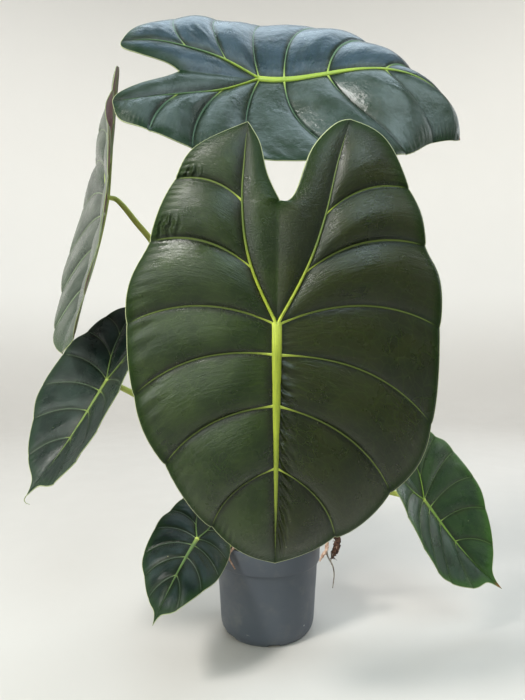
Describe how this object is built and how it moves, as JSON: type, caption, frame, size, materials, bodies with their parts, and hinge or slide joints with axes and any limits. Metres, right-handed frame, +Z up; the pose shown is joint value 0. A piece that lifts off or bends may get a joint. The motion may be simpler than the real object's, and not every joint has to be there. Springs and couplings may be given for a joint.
{
  "type": "potted alocasia plant",
  "caption": "Potted plant with dark leathery arrowhead leaves and bright yellow-green veins on long curved stalks, in a plain grey nursery pot.",
  "frame": {"origin": "centre of the pot's flat base", "axes": "+Z up, the big leaf faces -Y, which is the front"},
  "size_m": [0.5159, 0.3069, 0.6964],
  "materials": {
    "pot": "satin",
    "soil": "rough",
    "corm": "rough",
    "blade": "glossy",
    "stalk": "smooth",
    "root": "rough"
  },
  "bodies": {
    "root": {"pot": "pot", "soil": "soil", "corm": "corm", "leaf_front_blade": "blade", "leaf_front_stalk": "stalk", "leaf_top_blade": "blade", "leaf_top_stalk": "stalk", "leaf_side_blade": "blade", "leaf_side_stalk": "stalk", "leaf_left_blade": "blade", "leaf_left_stalk": "stalk", "leaf_small_blade": "blade", "leaf_small_stalk": "stalk", "leaf_right_blade": "blade", "leaf_right_stalk": "stalk", "root_left": "root", "root_right": "root"}
  },
  "joints": []
}
